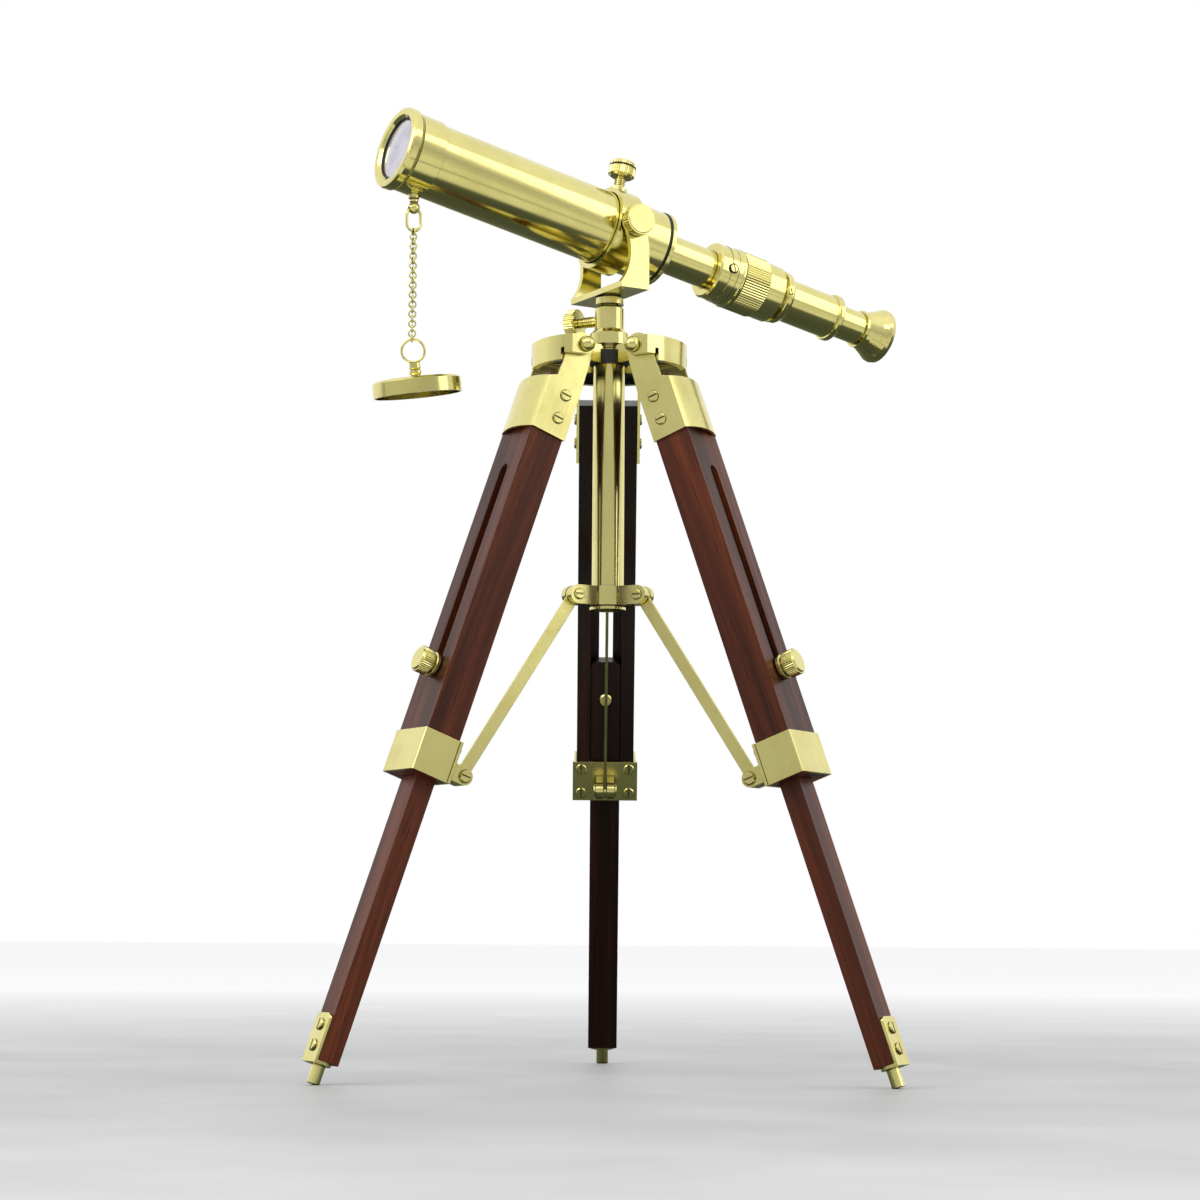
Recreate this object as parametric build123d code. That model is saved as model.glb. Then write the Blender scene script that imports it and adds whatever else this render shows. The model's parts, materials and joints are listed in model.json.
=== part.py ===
from build123d import *
import os
from math import atan2, cos, degrees, hypot, radians, sin, tan

# Desktop telescope on a folding wooden tripod. Millimetres, +Z up.
# While modelling, the tripod's column stands on the Z axis and the floor is z = 0.
# At export the whole object is shifted so that the origin is the middle of its footprint.

# ---- gaps ----
FIT = 0.06          # radial clearance of a turning or sliding fit
GAP = 0.3           # clear space between pieces that move past each other

# ---- tripod layout ----
LEG_AZIMUTH = {"rear": 90, "left": 210, "right": 330}
LEAN = 20           # legs from the vertical, degrees
FOOT_R = 162.6      # radius at which the legs' outer face line meets the floor

# ---- legs: v goes inward from the outer face, u across, s up along the leg ----
LEG_W = 29.0
LEG_D = 17.5
LEG_BOTTOM = 151.5
LEG_TOP = 356.0
GROOVE_FLOOR = 5.4  # v of the floor of the groove that holds the lower leg
SLOT_W = 7.0
SLOT_LOW = 199.0
SLOT_HIGH = 309.0
LOWER_W = 15.0
LOWER_D = 10.0
LOWER_V = GROOVE_FLOOR + GAP
LOWER_BOTTOM = 14.5
LOWER_TOP = 224.0
LOWER_CORNER = 3.0
BOLT_S = 204.0
SHEET = 1.3         # brass sheet of the fittings

# ---- leg bracket and hub ----
PIVOT_R = 24.5
PIVOT_Z = 348.5
PIVOT_V = (FOOT_R - PIVOT_R) * cos(radians(LEAN)) - PIVOT_Z * sin(radians(LEAN))
PIVOT_S = (FOOT_R - PIVOT_R) * sin(radians(LEAN)) + PIVOT_Z * cos(radians(LEAN))
PIVOT_PIN_R = 1.6
BRACKET_LOW = 327.0
BRACKET_BACK_TOP = 354.0
BRACKET_BULGE = 3.2
BRACKET_EAR_R = 6.6
HUB_ARM_LOW = 344.0
HUB_ARM_HIGH = 353.0
HUB_RIM_R = 38.0
HUB_RIM_LOW = 341.0
HUB_RIM_WALL = 3.2
HUB_WEB_HALF = 5.0
HUB_COLLAR_R = 9.6
HUB_LINK_R = 32.8       # the lugs join the rim outside the bracket's ears
HUB_LINK_LOW = 346.8
LUG_T = 4.0
LUG_R = 4.6
SOCKET_R = 7.2
SOCKET_LOW = 361.4
SOCKET_HIGH = 372.9
SPINDLE_R = 4.3
SPINDLE_LOW = 361.5
LOCK_AZIMUTH = 150
LOCK_Z = 366.6

# ---- column, sliding collar and braces ----
COLUMN_R = 7.75
COLUMN_WALL = 1.1
COLUMN_LOW = 223.5
COLLAR_PIN_R = 18.5
COLLAR_PIN_Z = 230.0
COLLAR_H = 9.2
COLLAR_RING_R = 10.0
EYE_R = 4.4
EYE_HOLE_R = 3.1
CLEVIS_W = 9.2
COLLAR_BOLT_R = 0.9
BRACE_W = 6.0
BRACE_T = 1.4

# ---- knee ----
CLAMP_LOW = 151.5
CLAMP_HIGH = 172.0
KNEE_R = 79.2
KNEE_Z = 140.4
KNEE_V = (FOOT_R - KNEE_R) * cos(radians(LEAN)) - KNEE_Z * sin(radians(LEAN))
KNEE_S = (FOOT_R - KNEE_R) * sin(radians(LEAN)) + KNEE_Z * cos(radians(LEAN))
KNEE_LUG_R = 4.2
KNEE_PIN_R = 1.5
KNEE_PLATE_W = 33.0

# ---- foot ----
STRAP_W = 13.6
STRAP_HIGH = 35.8
STRAP_T = 1.6
STUD_R = 3.05
STUD_V = 10.0
STUD_CUT = 0.5      # how far the stud's low corner is filed flat for the floor

# ---- screws and knobs ----
SCREW_HEAD_R = 2.8
SCREW_HEAD_H = 1.1
SCREW_SHANK_R = 1.1
SCREW_SHANK_L = 5.0
SLOT_CUT_W = 0.9
SLOT_CUT_D = 0.7
THREAD_R = 2.2
KNOB_R = 6.4
KNOB_H = 5.6
LOCK_KNOB_R = 7.2
TILT_KNOB_R = 7.7
KNOB_TEETH = 40
KNURL_DEPTH = 0.35

# ---- telescope: a runs along its axis, positive towards the objective ----
SCOPE_AZIMUTH = 210
SCOPE_TILT = 12
TILT_Z = 411.0
TUBE_R = 18.1
TUBE_WALL = 1.0
TUBE_FRONT = 110.0
TUBE_REAR = -24.6
CELL_REAR = 103.0
CELL_FRONT = 116.0
CELL_R = 19.1
BEZEL_R = 20.1
BEZEL_FRONT = 121.4
BEZEL_OPENING_R = 15.0
LENS_R = 16.8
END_CAP_REAR = -28.0
DRAW_R = 9.8
DRAW_WALL = 0.9
DRAW_FRONT = 35.0
BARREL_FRONT = -57.7
BARREL_REAR = -72.0
BARREL_END = -96.9
NOSE_END = -104.0
EYEPIECE_R = 10.9
EYEPIECE_END = -136.0
EYE_TUBE_R = 8.4
EYECUP_FRONT = -152.0
EYECUP_REAR = -167.4
EYECUP_R = 14.2
FOCUS_TEETH = 72
FOCUS_HUB_R = 12.0

# ---- yoke and ring ----
YOKE_HALF = 24.5
YOKE_HALF_W = 7.8
YOKE_LOW = 378.0
YOKE_T = 2.8
YOKE_TOP_R = 6.0
WASHER_LOW = 374.0
WASHER_R = 7.0
RING_IN_R = 18.5
RING_OUT_R = 20.9
RING_W = 12.0
BOSS_R = 4.4

# ---- chain and lens cap ----
ANCHOR_A = 106.0
ANCHOR_BALL_R = 2.8
BALL_DROP = 6.2
HANGER_WIRE_R = 0.7
HANGER_W = 8.6
HANGER_L = 12.4
LINK_WIRE_R = 0.4
LINK_PITCH = 2.33
LINK_W = 4.0
LINK_GAP = 0.1
LINKS = 23
LINK_TWIST = -30    # how far the chain has turned at its last link, degrees
CAP_R = 21.0
CAP_WALL = 0.75
CAP_H = 7.6
CAP_TILT = 9.5      # the loop doesn't balance the cap, so it hangs askew
CAP_TILT_TURN = 17  # the low side's direction, from the telescope's heading
LOOP_R = 6.0
LOOP_WIRE_R = 0.6
CHAIN_DROP = BALL_DROP + HANGER_L - 3 * HANGER_WIRE_R - LINK_WIRE_R - LINK_GAP
LINK_L = LINK_PITCH + 4 * LINK_WIRE_R + LINK_GAP
LAST_LINK_LOW = CHAIN_DROP + (LINKS - 1) * LINK_PITCH + LINK_L - 2 * LINK_WIRE_R
CAP_DROP = LAST_LINK_LOW - LINK_WIRE_R - LOOP_WIRE_R - LINK_GAP

LEG_FRAME = Plane(
    origin=(FOOT_R, 0, 0),
    x_dir=(-cos(radians(LEAN)), 0, -sin(radians(LEAN))),
    z_dir=(-sin(radians(LEAN)), 0, cos(radians(LEAN))),
)
SCOPE_FRAME = Rot(0, 0, SCOPE_AZIMUTH) * Plane(
    origin=(0, 0, TILT_Z),
    x_dir=(-sin(radians(SCOPE_TILT)), 0, cos(radians(SCOPE_TILT))),
    z_dir=(cos(radians(SCOPE_TILT)), 0, sin(radians(SCOPE_TILT))),
).location


# ---- helpers ----
def span(x0, x1, y0, y1, z0, z1):
    """A box given by its low and high planes."""
    box = Box(x1 - x0, y1 - y0, z1 - z0)
    return Pos((x0 + x1) / 2, (y0 + y1) / 2, (z0 + z1) / 2) * box


def rod(radius, z0, z1):
    """A cylinder on the Z axis between two heights."""
    return Pos(0, 0, (z0 + z1) / 2) * Cylinder(radius, z1 - z0)


def turned(*points):
    """A solid turned about Z from an outline of (radius, height) points."""
    outline = Polyline(*[(r, 0, z) for r, z in points], close=True)
    return revolve(make_face(outline), Axis.Z)


def lug(radius, x0, x1, half_w):
    """A flat lug along X, half_w either side in Y, with a round end centred on x1."""
    plate = span(x0, x1, -half_w, half_w, -radius, radius)
    return plate + Pos(x1, 0, 0) * Rot(90, 0, 0) * Cylinder(radius, 2 * half_w)


def on_leg(shape, name):
    """Moves a shape from leg coordinates (v, u, s) to its leg."""
    return Rot(0, 0, LEG_AZIMUTH[name]) * LEG_FRAME.location * shape


def slotted_screw(head_r, head_h, shank_r, shank_l):
    """A slotted screw: the head stands on z = 0 and the shank goes down."""
    head = chamfer(rod(head_r, 0, head_h).edges().group_by(Axis.Z)[-1], head_h * 0.4)
    cut = Box(2 * head_r + 1, SLOT_CUT_W, 2 * SLOT_CUT_D)
    return head - Pos(0, 0, head_h) * cut + rod(shank_r, -shank_l, 0)


def toothed_disc(radius, depth, teeth, z0, z1):
    """A straight-knurled disc: a ring of V-shaped teeth, extruded."""
    points = []
    for i in range(2 * teeth):
        r = radius - depth * (i % 2)
        angle = radians(180 * i / teeth)
        points.append((r * cos(angle), r * sin(angle)))
    face = make_face(Polyline(*points, close=True))
    return Pos(0, 0, z0) * extrude(face, z1 - z0)


def knob(z0, z1, radius=KNOB_R, edge=0.8):
    """A knurled thumb knob with turned rims above and below its teeth."""
    rim = radius - 2 * KNURL_DEPTH
    teeth = toothed_disc(radius, KNURL_DEPTH, KNOB_TEETH, z0 + edge, z1 - edge)
    return teeth + turned((0, z0), (rim - 0.7 * edge, z0), (rim, z0 + edge), (rim, z1 - edge),
                          (rim - 0.7 * edge, z1), (0, z1))


# ---- legs ----
def leg_bracket():
    """Two flat ears on the leg's sides, joined by a bulged back."""
    outline = Polyline((0, BRACKET_LOW), (LEG_D + 0.6, BRACKET_LOW), (LEG_D + 0.6, BRACKET_BACK_TOP),
                       (PIVOT_V + BRACKET_EAR_R, PIVOT_S), (PIVOT_V - BRACKET_EAR_R, PIVOT_S),
                       (PIVOT_V - BRACKET_EAR_R, BRACKET_BACK_TOP + 2), (0, BRACKET_BACK_TOP),
                       close=True)
    face = make_face(outline) + Pos(PIVOT_V, PIVOT_S) * Circle(BRACKET_EAR_R)
    ear = Rot(90, 0, 0) * extrude(face, SHEET)
    sides = Pos(0, LEG_W / 2 + SHEET, 0) * ear + Pos(0, -LEG_W / 2, 0) * ear
    half = LEG_W / 2 + SHEET
    bulge_r = (half ** 2 + BRACKET_BULGE ** 2) / (2 * BRACKET_BULGE)
    centre = bulge_r - BRACKET_BULGE
    back = Pos(centre, 0, 0) * (rod(bulge_r, BRACKET_LOW, BRACKET_BACK_TOP)
                                - rod(bulge_r - SHEET, BRACKET_LOW, BRACKET_BACK_TOP))
    back = back & span(-BRACKET_BULGE - 1, 0.4, -half, half, BRACKET_LOW, BRACKET_BACK_TOP)
    body = sides + back - span(0, LEG_D, -LEG_W / 2, LEG_W / 2, BRACKET_LOW - 1, BRACKET_BACK_TOP + 1)
    body -= Pos(PIVOT_V, 0, PIVOT_S) * Rot(90, 0, 0) * Cylinder(PIVOT_PIN_R + FIT, 60)
    for place in bracket_screw_places():
        body -= place * rod(SCREW_SHANK_R, -5, 1)
    return body


def bracket_screw_places():
    """Two screws into each side of the leg, heads outwards."""
    face = LEG_W / 2 + SHEET
    return [Pos(11, side * face, s) * Rot(-90 * side, 0, 0)
            for side in (-1, 1) for s in (336, 348)]


def knee_screw_places():
    """Four screws through the inner knee plate into the two cheeks of the leg."""
    face = LEG_D + SHEET
    return [Pos(face, u, s) * Rot(0, 90, 0)
            for u in (-12.2, 12.2) for s in (155.6, 168.2)]


def upper_leg():
    body = span(0, LEG_D, -LEG_W / 2, LEG_W / 2, LEG_BOTTOM, LEG_TOP)
    groove_half = LOWER_W / 2 + GAP
    body -= span(GROOVE_FLOOR, LEG_D + 1, -groove_half, groove_half, LEG_BOTTOM - 1, LEG_TOP + 1)
    slot = span(-1, GROOVE_FLOOR + 1, -SLOT_W / 2, SLOT_W / 2, SLOT_LOW + SLOT_W / 2, SLOT_HIGH - SLOT_W / 2)
    for s in (SLOT_LOW + SLOT_W / 2, SLOT_HIGH - SLOT_W / 2):
        slot += Pos(GROOVE_FLOOR / 2, 0, s) * Rot(0, 90, 0) * Cylinder(SLOT_W / 2, GROOVE_FLOOR + 2)
    body -= slot
    for place in bracket_screw_places() + knee_screw_places():
        body -= place * rod(SCREW_SHANK_R, -SCREW_SHANK_L, 0)
    return body


def upper_leg_screws():
    """The bracket's and the knee plate's wood screws, and the brace's pivot bolt."""
    screw = slotted_screw(SCREW_HEAD_R, SCREW_HEAD_H, SCREW_SHANK_R, SCREW_SHANK_L)
    screws = [place * screw for place in bracket_screw_places() + knee_screw_places()]
    half = CLEVIS_W / 2
    bolt = slotted_screw(3.1, 1.3, KNEE_PIN_R, 2 * half)
    nut = slotted_screw(3.1, 1.3, KNEE_PIN_R, 0.5)
    at_knee = Pos(KNEE_V, 0, KNEE_S)
    pin = at_knee * Pos(0, half, 0) * Rot(-90, 0, 0) * bolt
    pin += at_knee * Pos(0, -half, 0) * Rot(90, 0, 0) * nut
    return Compound([piece.solid() for piece in screws + [pin]])


def knee_clamp():
    half = LEG_W / 2
    outer = span(-SHEET, LEG_D, -half - SHEET, half + SHEET, CLAMP_LOW, CLAMP_HIGH)
    outer = fillet(outer.edges().filter_by(Axis.Z).group_by(Axis.X)[0], 1.0)
    return outer - span(0, LEG_D + 1, -half, half, CLAMP_LOW - 1, CLAMP_HIGH + 1)


def knee_plate():
    half = KNEE_PLATE_W / 2
    plate = span(LEG_D, LEG_D + SHEET, -half, half, CLAMP_LOW, CLAMP_HIGH)
    reach = KNEE_V - (LEG_D + SHEET)
    ear = Pos(LEG_D + SHEET / 2, 0, KNEE_S) * lug(KNEE_LUG_R, 0, reach + SHEET / 2, CLEVIS_W / 2)
    slit = span(LEG_D + SHEET + 1.5, KNEE_V + 9, -BRACE_T / 2 - GAP, BRACE_T / 2 + GAP,
                KNEE_S - 9, KNEE_S + 9)
    body = plate + ear - slit
    body -= Pos(KNEE_V, 0, KNEE_S) * Rot(90, 0, 0) * Cylinder(KNEE_PIN_R, 30)
    for place in knee_screw_places():
        body -= place * rod(SCREW_SHANK_R, -5, 1)
    return body


def lower_leg():
    body = span(LOWER_V, LOWER_V + LOWER_D, -LOWER_W / 2, LOWER_W / 2, LOWER_BOTTOM, LOWER_TOP)
    top = body.edges().filter_by(Axis.X).group_by(Axis.Z)[-1]
    body = fillet(top, LOWER_CORNER)
    body -= Pos(LOWER_V, 0, BOLT_S) * Rot(0, 90, 0) * Cylinder(THREAD_R, 60)
    for place in foot_screw_places():
        body -= place * rod(SCREW_SHANK_R, -SCREW_SHANK_L, 0)
    return body


def foot_screw_places():
    return [Pos(LOWER_V - STRAP_T, 0, s) * Rot(0, -90, 0) for s in (20.5, 30.3)]


def foot_strap():
    face = LOWER_V - STRAP_T
    strap = span(face, LOWER_V, -STRAP_W / 2, STRAP_W / 2, LOWER_BOTTOM - STRAP_T, STRAP_HIGH)
    strap = fillet(strap.edges().filter_by(Axis.X).group_by(Axis.Z)[-1], 2.5)
    toe_end = STUD_V + STUD_R + 1
    toe = span(face, toe_end, -STRAP_W / 2, STRAP_W / 2, LOWER_BOTTOM - STRAP_T, LOWER_BOTTOM)
    toe = fillet(toe.edges().filter_by(Axis.Z).group_by(Axis.X)[-1], 4.0)
    body = strap + toe
    for place in foot_screw_places():
        body -= place * rod(SCREW_SHANK_R, -5, 1)
    return body


def foot_stud(name):
    """The stud stands under the toe; its low corner is filed level with the floor."""
    low_s = (STUD_V + STUD_R) * tan(radians(LEAN)) - STUD_CUT / cos(radians(LEAN))
    stud = Pos(STUD_V, 0, 0) * rod(STUD_R, low_s, LOWER_BOTTOM - STRAP_T)
    return on_leg(stud, name) - Pos(0, 0, -10) * Box(600, 600, 20)


def lower_leg_screws():
    """Two strap screws and the lock bolt, whose slotted head is on the inner face."""
    screw = slotted_screw(SCREW_HEAD_R, SCREW_HEAD_H, SCREW_SHANK_R, SCREW_SHANK_L)
    screws = [place * screw for place in foot_screw_places()]
    inner = LOWER_V + LOWER_D
    bolt = slotted_screw(3.3, 1.4, THREAD_R, inner + 7)
    screws.append(Pos(inner, 0, BOLT_S) * Rot(0, 90, 0) * bolt)
    return Compound([piece.solid() for piece in screws])


def leg_lock_knob():
    """Thumb nut with a washer flange; it stands off the outer face of the leg."""
    neck = turned((THREAD_R + FIT, GAP), (5.6, GAP), (6.0, GAP + 0.5), (6.0, 2.3), (4.6, 3.4),
                  (THREAD_R + FIT, 3.4))
    head = knob(3.4, 3.4 + KNOB_H + 1.2) - rod(THREAD_R + FIT, 0, 8)
    return Pos(0, 0, BOLT_S) * Rot(0, -90, 0) * (neck + head)


# ---- hub, column, collar, braces ----
def hub():
    """A collared socket with three arms, whose rims reach round the brackets to the pivot lugs."""
    body = turned((0, HUB_ARM_LOW), (9.2, HUB_ARM_LOW), (9.2, 350.6), (7.9, 351.4), (HUB_COLLAR_R, 353.6),
                  (HUB_COLLAR_R, 359.2), (SOCKET_R + 0.2, SOCKET_LOW), (SOCKET_R, SOCKET_LOW),
                  (SOCKET_R, SOCKET_HIGH - 1), (SOCKET_R - 1, SOCKET_HIGH), (0, SOCKET_HIGH))
    inside = LEG_W / 2 - GAP
    outside = LEG_W / 2 + SHEET + GAP
    lug_end = outside + LUG_T
    block_low = PIVOT_R - BRACKET_EAR_R - GAP
    rim_end = HUB_RIM_R + 2
    for azimuth in LEG_AZIMUTH.values():
        arm = span(0, block_low + 2, -HUB_WEB_HALF, HUB_WEB_HALF, HUB_ARM_LOW, HUB_ARM_HIGH)
        arm += span(block_low, rim_end, -inside, inside, HUB_ARM_LOW, HUB_ARM_HIGH)
        arm += span(block_low, rim_end, -inside, inside, HUB_RIM_LOW, HUB_ARM_LOW + 1)
        arm -= rod(HUB_RIM_R - HUB_RIM_WALL, HUB_RIM_LOW - 1, HUB_ARM_LOW)
        arm += span(HUB_LINK_R, rim_end, -lug_end, lug_end, HUB_LINK_LOW, HUB_ARM_HIGH)
        for side in (-1, 1):
            middle = side * (outside + LUG_T / 2)
            lug_arm = span(PIVOT_R, rim_end, -LUG_T / 2, LUG_T / 2, HUB_ARM_LOW, HUB_ARM_HIGH)
            lug_arm += Pos(PIVOT_R, 0, PIVOT_Z) * Rot(90, 0, 0) * Cylinder(LUG_R, LUG_T)
            arm += Pos(0, middle, 0) * lug_arm
        arm &= rod(HUB_RIM_R, HUB_RIM_LOW, HUB_ARM_HIGH)
        arm -= Pos(PIVOT_R, 0, PIVOT_Z) * Rot(90, 0, 0) * Cylinder(PIVOT_PIN_R, 60)
        body += Rot(0, 0, azimuth) * arm
    body -= rod(SPINDLE_R + FIT, SPINDLE_LOW - 0.5, SOCKET_HIGH + 1)
    body -= rod(COLUMN_R, HUB_RIM_LOW - 5, HUB_ARM_HIGH - 2)
    lock = Rot(0, 0, LOCK_AZIMUTH) * Pos(SOCKET_R, 0, LOCK_Z) * Rot(0, 90, 0)
    return body - lock * Cylinder(THREAD_R + FIT, 12)


def hub_pivot_screws():
    """A round-headed pivot screw each side of every leg."""
    outer = LEG_W / 2 + SHEET + GAP + LUG_T
    ball = Pos(0, 0, 1.2) * Sphere(3.7) & rod(5, 0, 6)
    pin = ball + rod(PIVOT_PIN_R, -12, 0.5)
    pins = []
    for azimuth in LEG_AZIMUTH.values():
        for side in (-1, 1):
            place = Pos(PIVOT_R, side * outer, PIVOT_Z) * Rot(-90 * side, 0, 0)
            pins.append((Rot(0, 0, azimuth) * place * pin).solid())
    return Compound(pins)


def column_tube():
    outer = rod(COLUMN_R, COLUMN_LOW, HUB_ARM_HIGH - 2)
    stop = rod(COLUMN_R + 1.0, COLUMN_LOW, COLUMN_LOW + 1.4)
    return outer + stop - rod(COLUMN_R - COLUMN_WALL, COLUMN_LOW - 1, HUB_ARM_HIGH)


def column_collar():
    low = COLLAR_PIN_Z - COLLAR_H / 2
    body = rod(COLLAR_RING_R, low, low + COLLAR_H)
    for azimuth in LEG_AZIMUTH.values():
        ear = Pos(0, 0, COLLAR_PIN_Z) * lug(COLLAR_H / 2, 4, COLLAR_PIN_R, CLEVIS_W / 2)
        ear -= span(COLLAR_PIN_R - EYE_R - 2.6, 40, -BRACE_T / 2 - GAP, BRACE_T / 2 + GAP, low - 1,
                    low + COLLAR_H + 1)
        ear -= Pos(COLLAR_PIN_R, 0, COLLAR_PIN_Z) * Rot(90, 0, 0) * Cylinder(COLLAR_BOLT_R, 30)
        body += Rot(0, 0, azimuth) * ear
    return body - rod(COLUMN_R + FIT, low - 1, low + COLLAR_H + 1)


def collar_pins():
    half = CLEVIS_W / 2
    bolt = slotted_screw(2.6, 1.2, COLLAR_BOLT_R, 2 * half)
    nut = slotted_screw(2.6, 1.2, COLLAR_BOLT_R, 0.5)
    pins = []
    for azimuth in LEG_AZIMUTH.values():
        place = Rot(0, 0, azimuth) * Pos(COLLAR_PIN_R, 0, COLLAR_PIN_Z)
        pin = place * Pos(0, half, 0) * Rot(-90, 0, 0) * bolt
        pin += place * Pos(0, -half, 0) * Rot(90, 0, 0) * nut
        pins.append(pin.solid())
    return Compound(pins)


def brace():
    """A flat strip from the knee lug up to the collar, with a loose eye at the collar."""
    length = hypot(KNEE_R - COLLAR_PIN_R, COLLAR_PIN_Z - KNEE_Z)
    strip = Pos(length / 2, 0) * Rectangle(length, BRACE_W)
    strip += Circle(KNEE_LUG_R - 0.4)
    strip += Pos(length, 0) * Circle(EYE_R)
    strip -= Circle(KNEE_PIN_R + FIT)
    strip -= Pos(length, 0) * Circle(EYE_HOLE_R)
    bar = Pos(0, 0, -BRACE_T / 2) * extrude(strip, BRACE_T)
    rise = degrees(atan2(COLLAR_PIN_Z - KNEE_Z, KNEE_R - COLLAR_PIN_R))
    return Pos(KNEE_R, 0, KNEE_Z) * Rot(90, 0, 0) * Rot(0, 0, 180 - rise) * bar


def azimuth_lock_screw():
    screw = rod(THREAD_R, SPINDLE_R + GAP, 17) + knob(17, 17 + KNOB_H, LOCK_KNOB_R, 0.4)
    return Rot(0, 0, LOCK_AZIMUTH) * Pos(0, 0, LOCK_Z) * Rot(0, 90, 0) * screw


# ---- yoke and clamp ring: the yoke's x is the telescope's heading ----
def yoke():
    body = span(-YOKE_HALF_W, YOKE_HALF_W, -YOKE_HALF, YOKE_HALF, YOKE_LOW, YOKE_LOW + YOKE_T)
    top = YOKE_LOW + YOKE_T
    with BuildSketch(Plane.XZ) as outline:
        with BuildLine():
            Polyline((-YOKE_HALF_W, YOKE_LOW), (-YOKE_HALF_W, TILT_Z - 12), (-YOKE_TOP_R, TILT_Z))
            Line((-YOKE_TOP_R, TILT_Z), (YOKE_TOP_R, TILT_Z))
            Spline((YOKE_TOP_R, TILT_Z), (2.6, TILT_Z - 13), (YOKE_HALF_W, top),
                   tangents=[(-0.4, -1), (0.9, -1)])
            Polyline((YOKE_HALF_W, top), (YOKE_HALF_W, YOKE_LOW), (-YOKE_HALF_W, YOKE_LOW))
        make_face()
        with Locations((0, TILT_Z)):
            Circle(YOKE_TOP_R)
    arm = extrude(outline.sketch, YOKE_T)
    low_y = arm.bounding_box().min.Y
    for start in (-YOKE_HALF, YOKE_HALF - YOKE_T):
        body += Pos(0, start - low_y, 0) * arm
    body += rod(WASHER_R, WASHER_LOW, YOKE_LOW - 0.9) + rod(WASHER_R - 1.6, WASHER_LOW, YOKE_LOW)
    body += rod(SPINDLE_R, SPINDLE_LOW, YOKE_LOW)
    body -= Pos(0, 0, TILT_Z) * Rot(90, 0, 0) * Cylinder(THREAD_R + FIT, 80)
    return Rot(0, 0, SCOPE_AZIMUTH) * body


def clamp_ring():
    inner = YOKE_HALF - YOKE_T
    ring = rod(RING_OUT_R, -RING_W / 2, RING_W / 2)
    ring += Rot(90, 0, 0) * Cylinder(BOSS_R, 2 * (inner - GAP))
    ring += Pos((RING_OUT_R + 1.6) / 2, 0, 0) * Rot(0, 90, 0) * Cylinder(BOSS_R, RING_OUT_R + 1.6)
    ring -= rod(RING_IN_R, -RING_W, RING_W)
    ring -= Rot(90, 0, 0) * Cylinder(THREAD_R + FIT, 80)
    ring -= Pos(20, 0, 0) * Rot(0, 90, 0) * Cylinder(THREAD_R + FIT, 10)
    return SCOPE_FRAME * ring


def ring_clamp_screw():
    low = RING_OUT_R + 7.9
    head = knob(low, low + KNOB_H + 2.2, 6.6)
    return SCOPE_FRAME * Rot(0, 90, 0) * (rod(THREAD_R, TUBE_R + 0.35, low) + head)


def tilt_knob(side):
    start = YOKE_HALF + GAP
    shape = rod(THREAD_R, RING_IN_R + 0.4, start) + knob(start, start + KNOB_H, TILT_KNOB_R, 0.4)
    return SCOPE_FRAME * Rot(-90 * side, 0, 0) * shape


# ---- telescope ----
def main_tube():
    return SCOPE_FRAME * (rod(TUBE_R, TUBE_REAR, TUBE_FRONT)
                          - rod(TUBE_R - TUBE_WALL, TUBE_REAR - 1, TUBE_FRONT + 1))


def tube_end_cap():
    """The guide bush in the rear of the tube, with its flange and shadow groove."""
    cap = turned((DRAW_R + FIT, TUBE_REAR + 14), (TUBE_R - TUBE_WALL, TUBE_REAR + 14),
                 (TUBE_R - TUBE_WALL, TUBE_REAR), (TUBE_R - 0.6, TUBE_REAR), (TUBE_R - 0.6, TUBE_REAR - 0.8),
                 (TUBE_R + 0.5, TUBE_REAR - 0.8), (TUBE_R + 0.5, END_CAP_REAR + 0.6),
                 (TUBE_R - 0.4, END_CAP_REAR), (TUBE_R - 3, END_CAP_REAR), (TUBE_R - 3, END_CAP_REAR + 1.2),
                 (DRAW_R + FIT, END_CAP_REAR + 1.2))
    return SCOPE_FRAME * cap


def objective_cell():
    cell = turned((TUBE_R, CELL_REAR), (CELL_R, CELL_REAR), (CELL_R, CELL_FRONT - 1.2),
                  (CELL_R - 0.5, CELL_FRONT - 0.8), (CELL_R - 0.5, CELL_FRONT), (LENS_R, CELL_FRONT),
                  (LENS_R, TUBE_FRONT + 1.2), (15.4, TUBE_FRONT + 1.2), (15.4, TUBE_FRONT),
                  (TUBE_R, TUBE_FRONT))
    return SCOPE_FRAME * cell


def objective_bezel():
    bezel = turned((BEZEL_OPENING_R, CELL_FRONT), (CELL_R + 0.2, CELL_FRONT), (BEZEL_R, CELL_FRONT + 0.8),
                   (BEZEL_R, BEZEL_FRONT - 1.6), (BEZEL_R - 0.5, BEZEL_FRONT - 0.5),
                   (BEZEL_R - 1.6, BEZEL_FRONT), (BEZEL_OPENING_R + 1.4, BEZEL_FRONT - 0.3),
                   (BEZEL_OPENING_R, BEZEL_FRONT - 1.6))
    return SCOPE_FRAME * bezel


def lens(radius, middle, edge_t, sag):
    """A lens with two spherical faces, given its edge thickness and each face's sag."""
    ball_r = (radius ** 2 + sag ** 2) / (2 * sag)
    reach = ball_r - sag - edge_t / 2
    front = Pos(0, 0, middle - reach) * Sphere(ball_r)
    rear = Pos(0, 0, middle + reach) * Sphere(ball_r)
    return front & rear & rod(radius, middle - 20, middle + 20)


def objective_lens():
    return SCOPE_FRAME * lens(LENS_R, (TUBE_FRONT + 1.2 + CELL_FRONT) / 2, 2.4, 1.1)


def draw_tube():
    return SCOPE_FRAME * (rod(DRAW_R, BARREL_REAR, DRAW_FRONT)
                          - rod(DRAW_R - DRAW_WALL, BARREL_REAR - 1, DRAW_FRONT + 1))


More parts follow.
